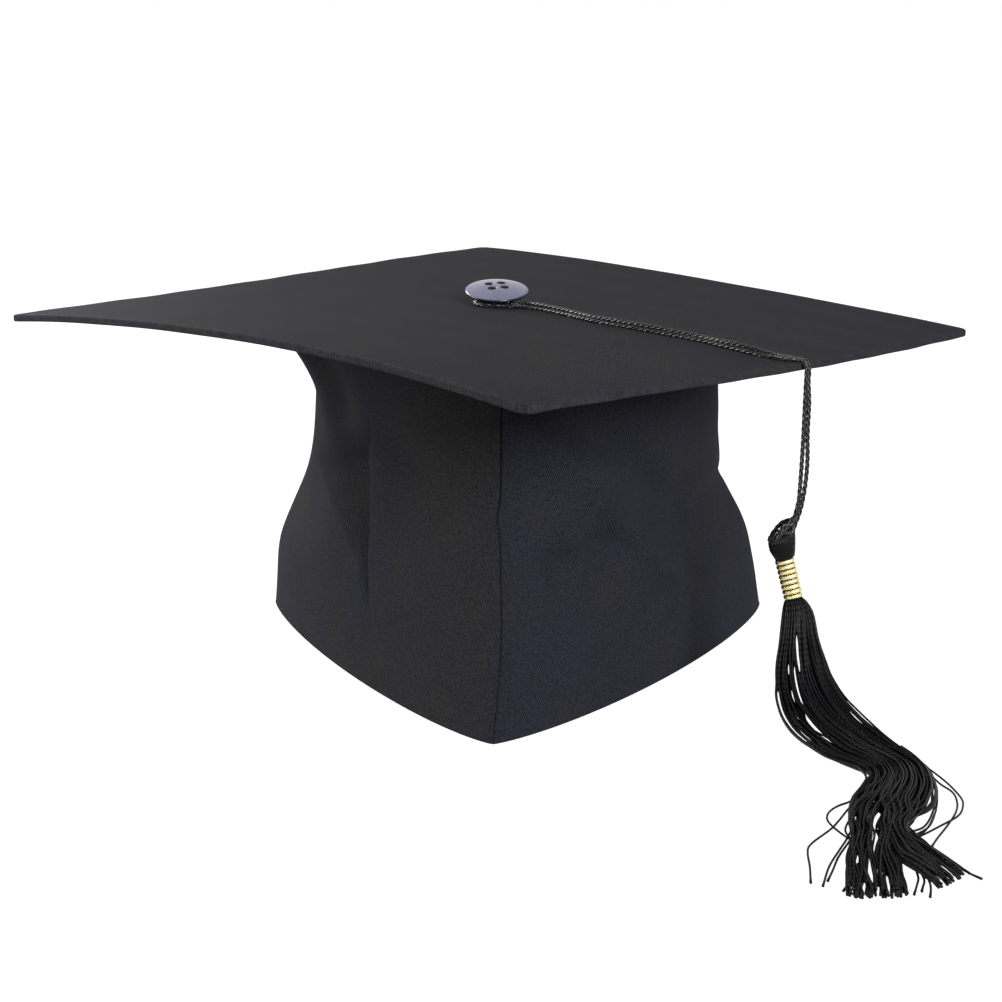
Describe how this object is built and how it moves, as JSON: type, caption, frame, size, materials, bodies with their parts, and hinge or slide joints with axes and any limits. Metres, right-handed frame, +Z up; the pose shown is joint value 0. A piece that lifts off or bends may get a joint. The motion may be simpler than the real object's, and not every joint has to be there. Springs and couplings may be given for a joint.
{
  "type": "graduation cap",
  "caption": "Mortarboard graduation cap: cloth-covered square board on a soft pointed skull cap, with a button, a doubled cord and a tassel with a gold wrap.",
  "frame": {"origin": "on the surface the cap's rim stands on, under the middle of the square board", "axes": "+Z up; -Y to the front, where the board's front corner and the cap's front seam point; +X to the wearer's left, the tassel's side"},
  "size_m": [0.3366, 0.3716, 0.1258],
  "materials": {
    "black_twill": "matte fine twill weave",
    "black_lining": "smooth woven lining",
    "elastic": "ribbed elastic",
    "grey_board": "pressed grey paperboard",
    "button_plastic": "polished",
    "black_thread": "twisted rayon, slight sheen",
    "gold_wire": "bright metallic thread"
  },
  "bodies": {
    "cap": {"board_top_cover": "black_twill", "board_core": "grey_board", "board_under_cover": "black_twill", "crown_top": "black_lining", "cap_panel_left": "black_twill", "cap_panel_right": "black_twill", "front_seam_tape": "black_lining", "back_seam_tape": "black_lining", "sweatband": "black_lining", "rear_elastic": "elastic", "button_shank_thread": "black_thread", "anchor_button": "button_plastic"},
    "button": {"button": "button_plastic"},
    "cord": {"cord_on_board": "black_thread", "cord_bend_a": "black_thread", "cord_bend_b": "black_thread"},
    "hanging_cord": {"cord_hanging_a": "black_thread", "cord_hanging_b": "black_thread"},
    "tassel": {"hitch_knot": "black_thread", "tassel_head": "black_thread", "gold_wrap": "gold_wire", "skirt_main": "black_thread", "skirt_right_lock": "black_thread"}
  },
  "joints": [
    {"name": "button_turn", "type": "hinge", "parent": "cap", "child": "button", "pos_m": [0, 0, 0.1232], "axis": [0, -0.225, 0.9744], "range_deg": [-20, 20]},
    {"name": "cord_turn", "type": "hinge", "parent": "cap", "child": "cord", "pos_m": [0, 0, 0.118], "axis": [0, 0, 1], "range_deg": [-3, 3], "deforming": ["cord_on_board"]},
    {"name": "tassel_swing", "type": "hinge", "parent": "cord", "child": "hanging_cord", "pos_m": [0.0893, -0.0804, 0.11122], "axis": [-0.7071, -0.7071, 0], "range_deg": [0, 60], "deforming": ["cord_bend_a", "cord_bend_b"]},
    {"name": "tassel_spin", "type": "hinge", "parent": "hanging_cord", "child": "tassel", "pos_m": [0.0858, -0.0818, 0.0586], "axis": [0, 0, 1], "range_deg": [-45, 90]}
  ]
}
